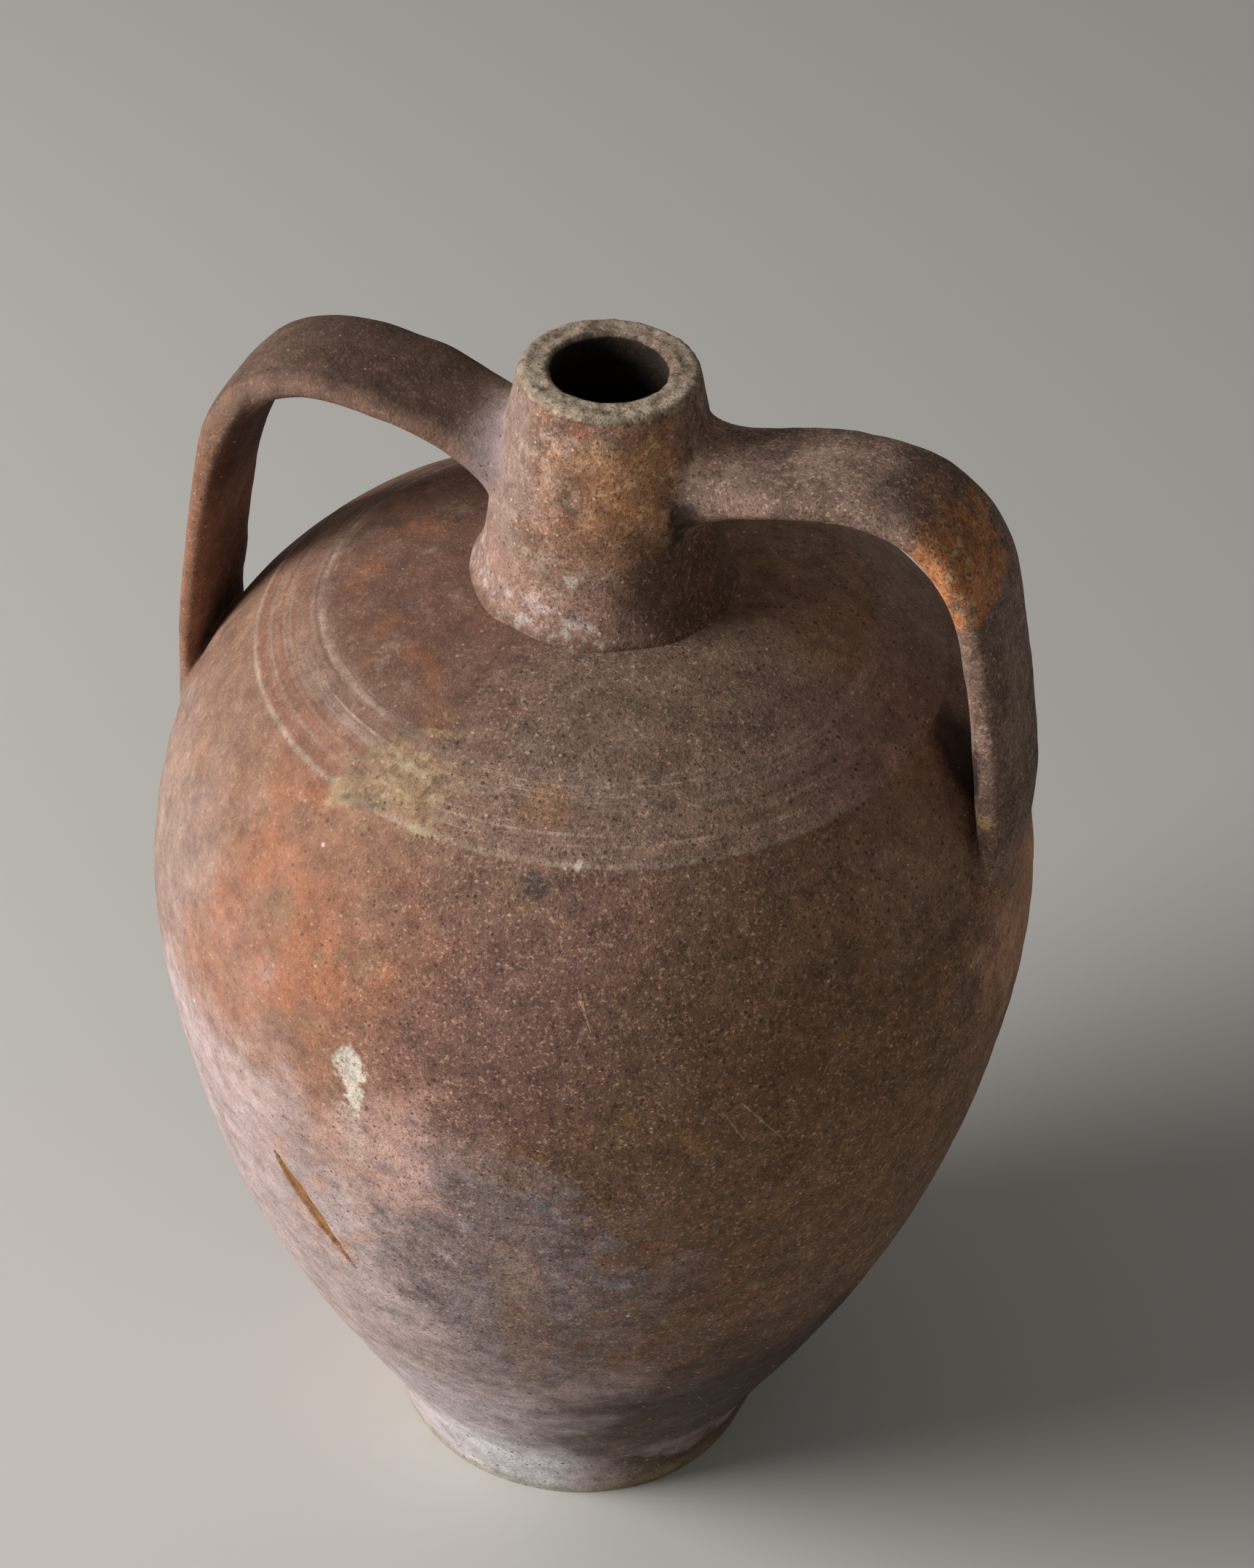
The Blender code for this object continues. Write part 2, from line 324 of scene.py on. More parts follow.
def band_relief(points, radius, level):
    """Fine combed lines round the shoulder, and the soft step below them."""
    on_shoulder = smooth_step(0.371, 0.3755, level)
    in_band = on_shoulder * smooth_step(0.088, 0.097, radius)
    fine = noise(np.stack([radius / 0.0011, 0 * radius, 0 * radius], -1), 1.0, 5)
    broad = noise(np.stack([radius / 0.0042, 0 * radius, 0 * radius], -1), 1.0, 6)
    worn = 0.6 + 0.4 * noise(points, 0.03, 7)
    relief = in_band * worn * MM * (0.1 * fine + 0.16 * broad)
    relief += 0.35 * MM * on_shoulder * np.exp(-(((level - 0.3765) / 0.0022) ** 2))
    return relief


INNER_ROWS = 14
COLUMNS = graded(
    -math.pi,
    math.pi,
    math.radians(0.72),
    fine=((math.radians(-27.5), math.radians(-12.5), math.radians(0.24)),),
)[:-1]


def wall_grid(distances):
    outline = wall.at(distances)
    normal = wall.normal(distances)
    bearing = COLUMNS[None, :] + 0 * outline[:, :1]
    radius = outline[:, :1] + 0 * bearing
    level = outline[:, 1:] + 0 * bearing
    distance = distances[:, None] + 0 * bearing
    points = turn(radius, level, bearing)
    out = turn(normal[:, :1] + 0 * bearing, normal[:, 1:] + 0 * bearing, bearing)
    relief = wall_relief(points, bearing, distance, radius, level)
    return points + relief[..., None] * out


def inner_rings(distances):
    outline = wall.at(distances) - WALL_THICKNESS * wall.normal(distances)
    bearing = COLUMNS[None, :] + 0 * outline[:, :1]
    points = turn(outline[:, :1] + 0 * bearing, outline[:, 1:] + 0 * bearing, bearing)
    relief = 0.4 * MM * noise(points, 0.03, 8)
    return points + relief[..., None] * turn(1 + 0 * bearing, 0, bearing)


def wall_rows():
    """Row distances up the whole wall, and the index at which each section ends."""
    band_low = wall.where(LEVEL, 0.3742)
    band_high = wall.where(ACROSS, 0.092, start=BAND_END)
    gouge_low = wall.where(LEVEL, 0.18)
    gouge_high = wall.where(LEVEL, 0.233)
    sections = (
        graded(0.0, FOOT_END, 1.5 * MM, fine=((0.0, 0.003, 0.5 * MM),)),
        graded(FOOT_END, BELLY_END, 1.9 * MM, fine=((gouge_low, gouge_high, 0.9 * MM),)),
        graded(BELLY_END, BAND_END, 1.8 * MM, fine=((band_low, BAND_END, 0.5 * MM),)),
        graded(BAND_END, wall.length, 1.5 * MM, fine=((BAND_END, band_high, 0.42 * MM),)),
    )
    ends = np.cumsum([len(section) - 1 for section in sections])
    distances = np.concatenate([sections[0], *(section[1:] for section in sections[1:])])
    return distances, ends


def make_walls(clays):
    distances, ends = wall_rows()
    grid = wall_grid(distances)
    normals = grid_normals(grid)
    base_end, lower_end, upper_end, top = (int(end) for end in ends)
    make_base_piece(grid, normals, distances, base_end, clays["wall"])
    sections = (
        ("lower_wall", "lower_body", "body_clay", base_end, lower_end),
        ("upper_wall", "upper_body", "body_clay", lower_end, upper_end),
        ("shoulder_dome", "shoulder", "shoulder_clay", upper_end, top),
    )
    for name, node, slot, first, last in sections:
        inner = inner_rings(np.linspace(distances[last], distances[first], INNER_ROWS))
        piece = make_piece(name, grid[first : last + 1], normals[first : last + 1], inner)
        settle(piece, node, clays["wall"])


def make_base_piece(grid, normals, distances, base_end, material):
    """The foot, with a flat underside inside a slightly rounded edge, and the jar's floor."""
    under = rings_at(((0.02, 0.0), (0.045, 0.0), (0.066, 0.0)), COLUMNS)
    edge = grid[0] * np.array((0.985, 0.985, 0.0))
    outer = grid[: base_end + 1].copy()
    outer[:, :, 2] = np.maximum(outer[:, :, 2], 0.0)
    top = inner_rings(distances[base_end : base_end + 1])[0]
    floor = rings_at(((0.062, FLOOR_LEVEL), (0.04, FLOOR_LEVEL), (0.02, FLOOR_LEVEL)), COLUMNS)
    rings = np.stack([*under, edge, *outer, top, *floor])
    all_normals = grid_normals(rings)
    lead = len(under) + 1
    all_normals[lead + 1 : lead + len(outer)] = normals[1 : len(outer)]
    piece = make_piece("foot", rings, all_normals, cap_start=True, cap_end=True)
    piece.data.normals_split_custom_set([(0.0, 0.0, 0.0)] * len(piece.data.loops))
    settle(piece, "base", material)


NECK_COLUMNS = np.linspace(-math.pi, math.pi, 301)[:-1]


def neck_profile():
    """(radius, level) rings up the coil and the neck, over the lip and down inside the mouth."""
    up = neck.at(graded(0.0, neck.length, 0.85 * MM, fine=((0.0, 0.004, 0.4 * MM),)))
    outside = ((0.0309, 0.4868), (0.0306, 0.4884), (0.03, 0.4896), (0.0288, LIP_LEVEL))
    inside = (
        (0.0252, LIP_LEVEL - 0.0001), (0.0212, LIP_LEVEL - 0.0002),
        (0.0203, LIP_LEVEL - 0.0009), (MOUTH_RADIUS, LIP_LEVEL - 0.003),
        (0.0203, LIP_SEAT - 0.001), (0.0218, 0.478),
    )
    lip = Curve((tuple(up[-1]), *outside, *inside))
    over = lip.at(graded(0.0, lip.length, 0.5 * MM))
    return up, over


def neck_relief(points, radius, level):
    relief = 0.35 * MM * noise(points, 0.03, 11)
    relief += 0.28 * MM * noise(points, 0.013, 12)
    relief += 0.1 * MM * noise(points, 0.005, 13)
    near_lip = smooth_step(0.48, 0.4875, level)
    relief += near_lip * MM * (0.34 * noise(points, 0.008, 14) + 0.24 * noise(points, 0.0032, 15))
    foot = 1 - smooth_step(0.409, 0.42, level)
    relief += foot * MM * 0.9 * noise(points, 0.014, 16)
    return relief


def make_neck(clays):
    up, over = neck_profile()
    profile = np.concatenate([up, over[1:]])
    bearing = NECK_COLUMNS[None, :] + 0 * profile[:, :1]
    radius = profile[:, :1] + 0 * bearing
    level = profile[:, 1:] + 0 * bearing
    points = turn(radius, level, bearing)
    slope = np.gradient(profile, axis=0)
    slope /= np.linalg.norm(slope, axis=1)[:, None]
    out = turn(slope[:, 1:] + 0 * bearing, -slope[:, :1] + 0 * bearing, bearing)
    grid = points + neck_relief(points, radius, level)[..., None] * out
    normals = grid_normals(grid)
    coil_end = int(np.argmax(up[:, 1] > COIL_TOP))
    neck_end = len(up) - 1
    bore = ((0.0255, COIL_TOP), (0.0285, 0.408))
    close_coil = rings_at(((0.03, COIL_TOP), (0.03, 0.408), (0.044, 0.406)), NECK_COLUMNS)
    piece = make_piece("neck_collar", grid[: coil_end + 1], normals[: coil_end + 1], close_coil)
    settle(piece, "neck_coil", clays["collar"])
    close_neck = rings_at(((0.0218, 0.484), (0.025, 0.462), *bore), NECK_COLUMNS)
    tube = slice(coil_end, neck_end + 1)
    piece = make_piece("neck_tube", grid[tube], normals[tube], close_neck)
    settle(piece, "neck", clays["neck"])
    close_lip = rings_at(((0.024, 0.479),), NECK_COLUMNS)
    piece = make_piece("lip_ring", grid[neck_end:], normals[neck_end:], close_lip)
    settle(piece, "lip", clays["neck"])


def strap_section(angle, width, thickness):
    """Offsets along the strap's own normal and its width at angles round its section."""
    deep = np.sign(np.cos(angle)) * np.abs(np.cos(angle)) ** (2 / STRAP_SQUARENESS) * thickness / 2
    wide = np.sign(np.sin(angle)) * np.abs(np.sin(angle)) ** (2 / STRAP_SQUARENESS) * width / 2
    return deep, wide


def hermite(start, start_pull, end, end_pull, share):
    """Points along a cubic from start to end that leaves and arrives along its pulls."""
    t = share[:, None, None]
    first = (2 * t**3 - 3 * t**2 + 1) * start + (t**3 - 2 * t**2 + t) * start_pull
    return first + (3 * t**2 - 2 * t**3) * end + (t**3 - t**2) * end_pull


def even_angles(width, thickness):
    """Angles that space the section's points evenly round it."""
    fine = np.linspace(0, math.tau, 4001)
    deep, wide = strap_section(fine, width, thickness)
    run = np.concatenate([[0], np.cumsum(np.hypot(np.diff(deep), np.diff(wide)))])
    return np.interp(np.linspace(0, run[-1], STRAP_COLUMNS + 1)[:-1], run, fine)


def surface_at(curve, distances, level):
    """The radius of a turned outline at a level, and how fast it grows with the level."""
    across, up = curve.at(distances).T
    return np.interp(level, up, across), np.interp(level, up, np.gradient(across, up))


def neck_surface(level):
    return surface_at(neck, np.linspace(0, neck.length, 600), level)


def wall_surface(level):
    return surface_at(wall, WALL_DISTANCES, level)


def ring_on(surface, relief, side, centre_level, half_width, up, down, angle):
    """A closed curve round (side, level) on a turned surface."""
    tall = np.cos(angle)
    level = centre_level + np.where(tall > 0, up, down) * tall
    radius, _ = surface(level)
    bearing = side * (math.pi / 2 + np.arctan2(half_width * np.sin(angle), radius))
    points = turn(radius, level, bearing)
    return turn(radius + relief(points, bearing, radius, level) - 0.25 * MM, level, bearing)


def relief_at_neck(points, bearing, radius, level):
    return neck_relief(points, radius, level)


def relief_at_wall(points, bearing, radius, level):
    distance = np.interp(level, wall.at(WALL_DISTANCES)[:, 1], WALL_DISTANCES)
    return wall_relief(points, bearing, distance, radius, level)


def make_handle(side, path, width, thickness, root, tail, clays):
    """One strap with its luted ends: one surface, split into three pieces."""
    sign = 1 if side == "right" else -1
    curve = Curve(path)
    distances = graded(0.0, curve.length, 1.25 * MM)
    middle = curve.at(distances)
    normal = curve.normal(distances) * -sign
    shares, depths = np.array(thickness).T
    depth = np.interp(distances / curve.length, shares, depths)
    depth = np.convolve(np.pad(depth, 6, mode="edge"), np.full(13, 1 / 13), mode="valid")
    angle = even_angles(width, depth.mean())
    deep, wide = strap_section(angle, width, 1.0)
    still = 0 * distances
    taper = 1 + 0.05 * noise(np.stack([distances, still, still + sign], -1), 0.035, 21)
    x = middle[:, :1] + normal[:, :1] * depth[:, None] * deep[None, :]
    z = middle[:, 1:] + normal[:, 1:] * depth[:, None] * deep[None, :]
    y = wide[None, :] * taper[:, None]
    strap = np.stack([x, y, z], -1)
    along = curve.along(distances)
    start_dir = np.array((along[0, 0], 0.0, along[0, 1]))
    end_dir = np.array((along[-1, 0], 0.0, along[-1, 1]))

    # Upper root: rings from the neck's surface out to the strap's first ring.
    level, half, up, down, reach = root
    share = np.linspace(0, 1, 26)[:-1]
    face = ring_on(neck_surface, relief_at_neck, sign, level, half, up, down, angle)
    face_pull = surface_pull(face, sign, level, reach, neck_surface)
    start = hermite(face, -face_pull, strap[0][None], start_dir * reach * 1.6, share)
    # Lower tail: rings from the strap's last ring to the wall's surface.
    level, half, up, down, reach = tail
    share = np.linspace(0, 1, 40)[1:]
    # The strap comes down the wall, so its outer face runs to the bottom of this ring.
    foot = ring_on(wall_surface, relief_at_wall, sign, level, half, up, down, math.pi - angle)
    foot_pull = surface_pull(foot, sign, level, reach, wall_surface)
    end = hermite(strap[-1][None], end_dir * reach * 1.2, foot, foot_pull, share)
    end = lift_from_wall(end, share)

    grid = np.concatenate([start, strap, end])
    if sign > 0:
        grid = grid[:, ::-1]
    smooth = grid_normals(grid)
    relief = 0.45 * noise(grid, 0.028, 22) + 0.25 * noise(grid, 0.011, 23)
    relief = MM * (relief + 0.09 * noise(grid, 0.0045, 24))
    row = np.arange(len(grid))
    fade = smooth_step(0, FADE_ROWS, row) * (1 - smooth_step(-FADE_ROWS, 0, row - len(grid) + 1))
    grid = grid + (relief * fade[:, None])[..., None] * smooth
    normals = grid_normals(grid)
    first = len(start)
    last = first + len(strap) - 1
    pieces = (
        (f"upper_smear_{side}", f"upper_lute_{side}", "luting_clay", "root", 0, first),
        (f"strap_{side}", f"handle_{side}", "handle_clay", "strap", first, last),
        (f"lower_smear_{side}", f"lower_lute_{side}", "luting_clay", "tail", last, len(grid) - 1),
    )
    for name, node, slot, clay, low, high in pieces:
        outer = grid[low : high + 1]
        piece = make_piece(name, outer, normals[low : high + 1], cap_start=True, cap_end=True)
        settle(piece, node, clays[clay])


def lift_from_wall(rings, share):
    """The rings with every point that would dip into the wall eased out to lie just on it."""
    flat = np.hypot(rings[..., 0], rings[..., 1])
    bearing = np.arctan2(rings[..., 0], -rings[..., 1])
    radius, _ = wall_surface(rings[..., 2])
    above = flat - radius - relief_at_wall(rings, bearing, radius, rings[..., 2])
    done = share[:, None]
    least = MM * (0.7 * (1 - done**2) - 0.25 * done**2)
    blend = MM * (0.2 + 2.5 * (1 - done))
    eased = (above + least + np.sqrt((above - least) ** 2 + blend**2)) / 2
    eased = np.where(done < 1, np.where(above < 4 * blend, eased, above), above)
    grown = (flat + eased - above) / flat
    return rings * np.stack([grown, grown, np.ones_like(grown)], -1)


def surface_pull(ring, sign, level, reach, surface):
    """Vectors along the surface, away from the middle of the ring, of length reach."""
    centre_radius, _ = surface(np.array([level]))
    centre = np.array((sign * float(centre_radius[0]), 0.0, level))
    away = ring - centre
    radius, slope = surface(ring[:, 2])
    flat = np.hypot(ring[:, 0], ring[:, 1])
    out = np.stack([ring[:, 0] / flat, ring[:, 1] / flat, -slope], -1)
    out /= np.linalg.norm(out, axis=1)[:, None]
    away = away - (away * out).sum(1)[:, None] * out
    away /= np.linalg.norm(away, axis=1)[:, None]
    return away * reach


def tint(red, green, blue):
    """The linear colour of an sRGB one, given from 0 to 255."""
    shares = (channel / 255 for channel in (red, green, blue))
    return tuple(s / 12.92 if s < 0.0405 else ((s + 0.055) / 1.055) ** 2.4 for s in shares)


class Field:
    """A number that a material's nodes work out at each point of the surface."""

    def __init__(self, graph, socket):
        self.graph = graph
        self.socket = socket

    def __add__(self, other):
        return self.graph.math("ADD", self, other)

    def __sub__(self, other):
        return self.graph.math("SUBTRACT", self, other)

    def __rsub__(self, other):
        return self.graph.math("SUBTRACT", other, self)

    def __mul__(self, other):
        return self.graph.math("MULTIPLY", self, other)

    def __truediv__(self, other):
        return self.graph.math("DIVIDE", self, other)

    __radd__ = __add__
    __rmul__ = __mul__


class Graph:
    """Nodes that build up a clay from layers of colour."""

    def __init__(self, tree):
        self.tree = tree
        self.position = self.node("TexCoord").outputs["Object"]
        split = self.node("SeparateXYZ")
        self.tree.links.new(self.position, split.inputs[0])
        self.x, self.y, self.level = (Field(self, socket) for socket in split.outputs)
        self.radius = self.math("SQRT", self.x * self.x + self.y * self.y)
        self.bearing = self.math("ARCTAN2", self.x, 0.0 - self.y) * math.degrees(1.0)
        self.colour = None

    def node(self, kind, **inputs):
        node = self.tree.nodes.new("ShaderNode" + kind)
        for name, value in inputs.items():
            self.put(node.inputs[name], value)
        return node

    def put(self, socket, value):
        if isinstance(value, Field):
            self.tree.links.new(value.socket, socket)
        elif isinstance(value, bpy.types.NodeSocket):
            self.tree.links.new(value, socket)
        else:
            socket.default_value = value

    def math(self, operation, *values):
        node = self.node("Math")
        node.operation = operation
        for socket, value in zip(node.inputs, values):
            self.put(socket, value)
        return Field(self, node.outputs[0])

    def most(self, first, *others):
        for other in others:
            first = self.math("MAXIMUM", first, other)
        return first

    def step(self, low, high, value):
        """A smooth rise from 0 at low to 1 at high."""
        node = self.node("MapRange", Value=value)
        node.interpolation_type = "SMOOTHSTEP"
        self.put(node.inputs["From Min"], low)
        self.put(node.inputs["From Max"], high)
        return Field(self, node.outputs["Result"])

    def fall(self, low, high, value):
        """A smooth fall from 1 at low to 0 at high."""
        return 1 - self.step(low, high, value)

    def mottle(self, low, high, *place, **options):
        """The patches where a noise rises from low to high."""
        return self.step(low, high, self.noise(*place, **options))

    def right_of(self, low, high, warp=0.0):
        """A rise from 0 to 1 from one bearing to another, which falls back to 0 behind the jar."""
        behind = self.step(130.0, 170.0, self.bearing)
        return self.step(low, high, self.bearing + warp) * (1 - behind)

    def scaled(self, size, stretch, seed, at=None):
        """The position, or another place, in units of size."""
        if at is not None:
            joined = self.node("CombineXYZ")
            for socket, value in zip(joined.inputs, at):
                self.put(socket, value)
        node = self.node("VectorMath")
        node.operation = "MULTIPLY_ADD"
        self.put(node.inputs[0], self.position if at is None else joined.outputs[0])
        node.inputs[1].default_value = tuple(1 / (size * share) for share in stretch)
        node.inputs[2].default_value = (seed * 7.31, seed * 3.17, seed * 5.53)
        return node.outputs[0]

    def noise(self, size, seed, detail=3, roughness=0.55, stretch=(1, 1, 1), at=None):
        place = self.scaled(size, stretch, seed, at)
        node = self.node("TexNoise", Vector=place, Scale=1.0, Detail=detail, Roughness=roughness)
        return Field(self, node.outputs["Fac"])

    def specks(self, size, seed, chance, spread=0.3, stretch=(1, 1, 1)):
        """Separate spots, one for a share of the cells of this size."""
        node = self.node("TexVoronoi", Vector=self.scaled(size, stretch, seed), Scale=1.0)
        split = self.node("SeparateColor")
        self.put(split.inputs[0], node.outputs["Color"])
        chosen = self.step(1 - chance - 0.03, 1 - chance + 0.03, Field(self, split.outputs[0]))
        width = Field(self, split.outputs[1]) * (spread * 0.7) + spread * 0.5
        return chosen * self.fall(0.55, 1.0, Field(self, node.outputs["Distance"]) / width)

    def near(self, bearing, spread, level, rise, seed, ragged=0.5, soft=0.5, size=0.02):
        """A ragged zone of the wall round a bearing and a level."""
        across = (self.bearing - bearing) / spread
        up = (self.level - level) / rise
        away = self.math("SQRT", across * across + up * up)
        away = away + (self.noise(size, seed, detail=2, roughness=0.65) - 0.5) * (4 * ragged)
        return self.fall(1 - soft, 1 + soft, away)

    def spot(self, centre, half, seed, ragged=0.5, soft=0.35, size=0.006):
        """A ragged spot round a point, with half sizes along x, y and z."""
        total = 0.0
        for coordinate, middle, reach in zip((self.x, self.y, self.level), centre, half):
            offset = (coordinate - middle) / reach
            total = offset * offset + total
        warp = self.noise(size, seed, detail=2, roughness=0.7) - 0.5
        away = self.math("SQRT", total) + warp * (4 * ragged)
        return self.fall(1 - soft, 1 + soft, away)

    def seam(self, start, end, half, radius, ragged=0.0):
        """A line on the wall between two (bearing, level) places, narrowing to its ends."""
        first = (math.radians(start[0]) * radius, start[1])
        line = (math.radians(end[0]) * radius - first[0], end[1] - first[1])
        length = math.hypot(*line)
        across = self.bearing * (math.radians(1) * radius) - first[0]
        up = self.level - first[1]
        share = (across * line[0] + up * line[1]) / length**2
        inside = self.math("MAXIMUM", self.math("MINIMUM", share, 1.0), 0.0)
        side = self.math("ABSOLUTE", (across * line[1] - up * line[0]) / length)
        if ragged:
            side = side + (self.noise(0.003, 44) - 0.5) * ragged
        bowed = self.math("POWER", inside, GOUGE_SKEW)
        width = self.math("SINE", bowed * math.pi) * half + 0.00005
        between = self.step(0.0, 0.02, share) * self.fall(0.98, 1.0, share)
        return between * self.fall(0.6, 1.15, side / width)

    def lay(self, colour, share=1.0):
        """One more layer of colour, over a share of what is there."""
        if self.colour is None:
            self.colour = tint(*colour) + (1.0,)
            return
        node = self.node("Mix")
        node.data_type = "RGBA"
        self.put(node.inputs[0], share)
        self.put(node.inputs[6], self.colour)
        above = colour if isinstance(colour, bpy.types.NodeSocket) else tint(*colour) + (1.0,)
        self.put(node.inputs[7], above)
        self.colour = node.outputs[2]

    def shade(self, amount):
        node = self.node("VectorMath")
        node.operation = "SCALE"
        self.put(node.inputs[0], self.colour)
        self.put(node.inputs["Scale"], amount)
        self.colour = node.outputs[0]

    def brightness(self):
        node = self.node("RGBToBW")
        self.put(node.inputs[0], self.colour)
        return Field(self, node.outputs[0])

    def use(self, group):
        """The colour that another group of nodes works out."""
        node = self.node("Group")
        node.node_tree = group
        return node.outputs[0]


SCRATCHES = (
    ((17.5, 0.345), (19.5, 0.33), 0.0005, 0.158, 0.7),
    ((38, 0.3), (44, 0.278), 0.0004, 0.16, 0.6),
    ((36, 0.296), (39, 0.281), 0.0004, 0.16, 0.5),
)
SPLASH_RADIUS = 0.1605
SPLASH_BEARING = math.radians(-10.6)


def paint_body(g):
    """The fired brown and orange of the belly, which the handles' lower smears share."""
    broad = g.noise(0.06, 1)
    middle = g.noise(0.016, 2, detail=4, roughness=0.62)
    g.lay((140, 107, 88))
    g.lay((114, 86, 72), g.step(0.46, 0.66, broad) * 0.5)
    g.lay((160, 126, 102), g.step(0.5, 0.66, middle) * 0.5)

    orange = g.near(-24, 19, 0.322, 0.062, 5, ragged=0.55, soft=0.7, size=0.045)
    g.lay((166, 114, 90), orange * 0.6)
    g.lay((178, 112, 76), orange * g.mottle(0.4, 0.62, 0.022, 6) * 0.55)
    g.lay((172, 150, 142), g.near(-58, 22, 0.312, 0.034, 84, soft=0.8) * 0.55)
    g.lay((140, 112, 86), orange * g.mottle(0.54, 0.64, 0.018, 7) * 0.6)
    mauve = g.near(9, 20, 0.3, 0.075, 8, soft=0.6, size=0.04)
    g.lay((122, 89, 80), mauve * 0.75)
    olive = g.near(50, 30, 0.265, 0.1, 9, soft=0.6, size=0.05)
    g.lay((124, 92, 62), olive * 0.78)
    g.lay((164, 120, 76), olive * g.mottle(0.54, 0.68, 0.013, 10) * 0.5)
    g.lay((205, 150, 118), g.near(93, 14, 0.3, 0.032, 11) * 0.8)
    # Painted shade, with some soot: a near-black strip on the wall in the narrow gap behind the
    # right handle's lower end.
    gap_shade_and_soot = g.near(91, 6, 0.36, 0.018, 12, ragged=0.15, soft=0.4)
    g.lay((168, 132, 108), g.near(70, 16, 0.352, 0.018, 85, ragged=0.4, soft=0.7) * 0.5)
    g.lay((44, 34, 26), gap_shade_and_soot * 0.9)
    return broad, middle


def paint_tail(g):
    """The parts of the wall's paint that the handles' lower ends reach."""
    _, middle = paint_body(g)
    paint_bloom(g, middle)


def paint_wall(g):
    """The whole wall: its fired body, with smoke, lime, salts and marks over it."""
    broad, middle = paint_body(g)
    paint_shoulder(g, broad, middle)
    low = paint_bloom(g, middle)
    paint_lower_wall(g, middle, low)
    paint_wall_marks(g)


def paint_shoulder(g, broad, middle):
    on_top = g.step(0.384, 0.3895, g.level)
    left = 1 - g.right_of(-34, 4, (broad - 0.5) * 60)
    g.lay((132, 109, 94), on_top * 0.8)
    g.lay((158, 122, 94), on_top * g.right_of(72, 100) * 0.8)
    g.lay((120, 85, 70), on_top * left * 0.85)
    g.lay((146, 96, 68), on_top * left * g.mottle(0.52, 0.66, 0.022, 13) * 0.6)
    g.lay((104, 84, 72), on_top * g.step(0.5, 0.66, middle) * 0.5)
    g.lay((160, 138, 120), on_top * g.mottle(0.56, 0.7, 0.009, 14, detail=4) * 0.45)

    waver = (g.noise(0.035, 15) - 0.5) * 0.004
    band = g.step(0.0925, 0.0975, g.radius + waver) * g.step(0.3752, 0.3764, g.level + waver * 0.06)
    g.lay((152, 126, 111), band * 0.6)
    fine = g.noise(0.0012, 16, detail=2, at=(g.radius, g.bearing * 0.000012, 0.0))
    wide = g.noise(0.0045, 17, detail=2, at=(g.radius, g.bearing * 0.00003, 0.0))
    broken = g.mottle(0.4, 0.62, 0.014, 18, detail=4, roughness=0.75)
    worn = band * (1 - g.right_of(48, 80))
    g.lay((196, 172, 152), worn * g.step(0.56, 0.7, fine) * broken * 0.75)
    g.lay((122, 92, 80), worn * g.fall(0.32, 0.44, fine) * 0.35)
    g.lay((182, 154, 138), worn * left * g.step(0.54, 0.66, wide) * broken * 0.75)
    g.lay((140, 90, 70), worn * left * g.fall(0.42, 0.54, wide) * 0.6)
    edge = g.step(0.375, 0.376, g.level) * g.fall(0.3764, 0.3782, g.level)
    g.lay((186, 162, 142), edge * (0.4 + broken * 0.6) * worn * 0.75)

    place = (-0.031, -0.105, 0.385)
    stain = g.spot(place, (0.018, 0.013, 0.03), 19, ragged=0.95, soft=0.6, size=0.014)
    g.lay((176, 148, 114), stain * 0.72)
    g.lay((200, 180, 148), stain * g.mottle(0.5, 0.62, 0.006, 20) * 0.6)
    g.lay((126, 92, 70), stain * g.mottle(0.5, 0.64, 0.006, 21) * 0.7)
    wisp = g.spot((-0.051, -0.1115, 0.378), (0.011, 0.0026, 0.008), 22, size=0.004)
    g.lay((184, 156, 120), wisp * 0.6)
    wisp = g.spot((-0.024, -0.0895, 0.39), (0.008, 0.0014, 0.008), 23, size=0.004)
    g.lay((176, 150, 116), wisp * 0.6)
    g.lay((92, 78, 70), g.spot((-0.042, -0.112, 0.379), (0.009, 0.003, 0.01), 24) * 0.5)
    g.lay((150, 106, 74), g.spot((0.018, -0.104, 0.386), (0.01, 0.006, 0.01), 25, ragged=0.7) * 0.5)


def paint_bloom(g, middle):
    """Salts, which have bloomed from the foot upwards. It returns the level, made uneven."""
    streak = g.noise(0.009, 3, stretch=(1, 1, 0.22))
    warp = (g.noise(0.036, 26, detail=4) - 0.5) * 0.14
    low = g.level + warp
    # The bloom reaches higher on the left than on the right.
    reach = g.math("MINIMUM", 0.216 - 0.0024 * g.bearing, 0.276)
    bloom = g.fall(-0.03, 0.04, low - reach)
    bloom = bloom * g.step(-150.0, -95.0, g.bearing)
    cover = g.step(0.34, 0.6, g.noise(0.014, 27, detail=4, roughness=0.68) + bloom * 0.16)
    g.lay((190, 170, 168), bloom * (0.28 + cover * 0.58))
    g.lay((200, 186, 186), bloom * g.step(0.52, 0.72, streak) * 0.55)
    warm = bloom * g.near(-14, 14, 0.225, 0.05, 28, ragged=0.4)
    g.lay((184, 134, 110), warm * g.step(0.5, 0.62, middle) * 0.5)
    return low


